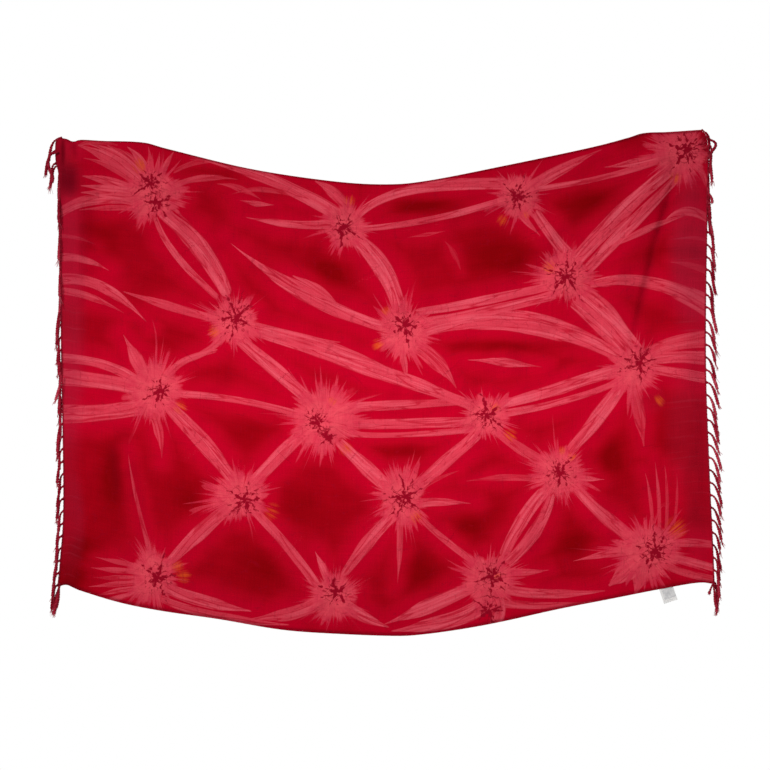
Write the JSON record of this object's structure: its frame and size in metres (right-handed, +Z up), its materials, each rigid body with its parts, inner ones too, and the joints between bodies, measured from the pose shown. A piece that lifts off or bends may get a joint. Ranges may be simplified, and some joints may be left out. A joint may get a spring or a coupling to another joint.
{
  "type": "tie-dye sarong",
  "caption": "Tie-dyed sarong of thin woven cloth with knotted fringe on both short sides, hanging by the two ends of its top hem so that the hem sags between them.",
  "frame": {"origin": "middle of the stretch of the top hem that is held at the left", "axes": "+X along the cloth to the right, -Y out of the dyed front, +Z up"},
  "size_m": [1.7274, 0.0294, 1.2971],
  "materials": {
    "dyed_cloth": "matt plain weave, resist-dyed in reds with pale pink bursts",
    "fringe_yarn": "twisted matt yarn, dyed crimson",
    "label_satin": "blank white satin ribbon"
  },
  "bodies": {
    "root": {"cloth": "dyed_cloth", "fringe_left": "fringe_yarn", "fringe_right": "fringe_yarn", "care_label": "label_satin"}
  },
  "joints": []
}
